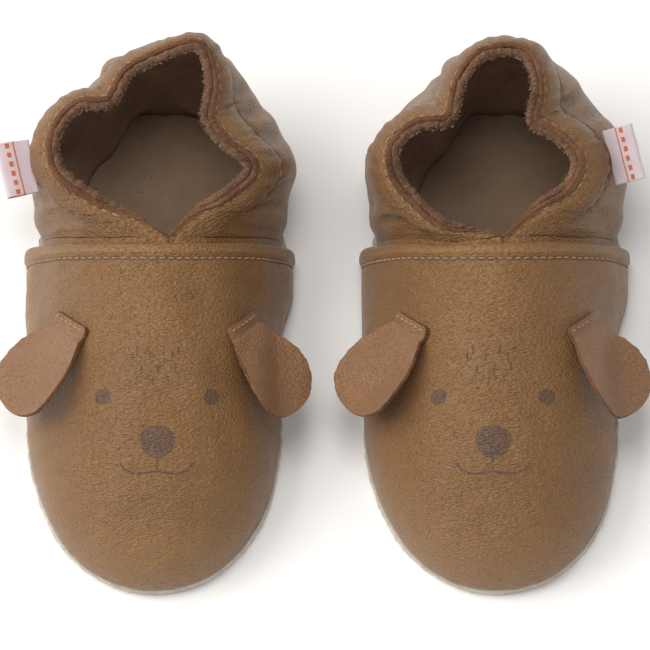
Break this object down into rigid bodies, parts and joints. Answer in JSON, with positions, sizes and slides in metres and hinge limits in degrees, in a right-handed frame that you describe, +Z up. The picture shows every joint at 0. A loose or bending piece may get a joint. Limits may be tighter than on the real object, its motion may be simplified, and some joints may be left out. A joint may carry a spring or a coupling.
{
  "type": "pair of baby booties",
  "caption": "Soft leather baby booties, left and right, with folding animal ears, a gathered elastic ankle, suede soles and side label loops.",
  "frame": {"origin": "on the floor, at the middle of the pair's outline", "axes": "+Z up, +X from the left bootie to the right one, -Y towards the toes"},
  "size_m": [0.1668, 0.135, 0.0586],
  "materials": {
    "leather": "smooth grained, satin",
    "ear_leather": "smooth grained, satin",
    "inner_suede": "suede, matt",
    "sole_suede": "suede, matt",
    "insole_fabric": "felted, matt",
    "foam": "soft foam, matt",
    "thread": "waxed thread",
    "elastic": "woven elastic",
    "ribbon": "woven satin ribbon"
  },
  "bodies": {
    "booties": {"left_outsole": "sole_suede", "left_foam_pad": "foam", "left_insole": "insole_fabric", "left_sole_thread": "thread", "left_quarter_lining": "inner_suede", "left_ankle_elastic": "elastic", "left_quarter": "leather", "left_rim_thread": "thread", "left_casing_thread": "thread", "left_vamp_lining": "inner_suede", "left_vamp": "leather", "left_vamp_thread": "thread", "left_outer_ear_tab": "ear_leather", "left_outer_ear_thread": "thread", "left_inner_ear_tab": "ear_leather", "left_inner_ear_thread": "thread", "right_outsole": "sole_suede", "right_foam_pad": "foam", "right_insole": "insole_fabric", "right_sole_thread": "thread", "right_quarter_lining": "inner_suede", "right_ankle_elastic": "elastic", "right_quarter": "leather", "right_rim_thread": "thread", "right_casing_thread": "thread", "right_vamp_lining": "inner_suede", "right_vamp": "leather", "right_vamp_thread": "thread", "right_outer_ear_tab": "ear_leather", "right_outer_ear_thread": "thread", "right_inner_ear_tab": "ear_leather", "right_inner_ear_thread": "thread"},
    "left_outer_ear_body": {"left_outer_ear": "ear_leather"},
    "left_inner_ear_body": {"left_inner_ear": "ear_leather"},
    "left_side_label_body": {"left_side_label": "ribbon"},
    "right_outer_ear_body": {"right_outer_ear": "ear_leather"},
    "right_inner_ear_body": {"right_inner_ear": "ear_leather"},
    "right_side_label_body": {"right_side_label": "ribbon"}
  },
  "joints": [
    {"name": "left_outer_ear_fold", "type": "hinge", "parent": "booties", "child": "left_outer_ear_body", "pos_m": [-0.06455, -0.00919, 0.03247], "axis": [-0.589, 0.6099, -0.5302], "range_deg": [-20, 90], "stiffness_Nm_per_rad": 0.002},
    {"name": "left_inner_ear_fold", "type": "hinge", "parent": "booties", "child": "left_inner_ear_body", "pos_m": [-0.01925, -0.00919, 0.03247], "axis": [-0.589, -0.6099, 0.5302], "range_deg": [-20, 90], "stiffness_Nm_per_rad": 0.002},
    {"name": "left_side_label_fold", "type": "hinge", "parent": "booties", "child": "left_side_label_body", "pos_m": [-0.07507, 0.03379, 0.03526], "axis": [-0.2488, 0.942, 0.2253], "range_deg": [-60, 40], "stiffness_Nm_per_rad": 0.0002},
    {"name": "right_outer_ear_fold", "type": "hinge", "parent": "booties", "child": "right_outer_ear_body", "pos_m": [0.06525, -0.00919, 0.03247], "axis": [-0.589, -0.6099, 0.5302], "range_deg": [-20, 90], "stiffness_Nm_per_rad": 0.002},
    {"name": "right_inner_ear_fold", "type": "hinge", "parent": "booties", "child": "right_inner_ear_body", "pos_m": [0.01995, -0.00919, 0.03247], "axis": [-0.589, 0.6099, -0.5302], "range_deg": [-20, 90], "stiffness_Nm_per_rad": 0.002},
    {"name": "right_side_label_fold", "type": "hinge", "parent": "booties", "child": "right_side_label_body", "pos_m": [0.07166, 0.03504, 0.03838], "axis": [0.2469, -0.8991, -0.3614], "range_deg": [-60, 40], "stiffness_Nm_per_rad": 0.0002}
  ]
}
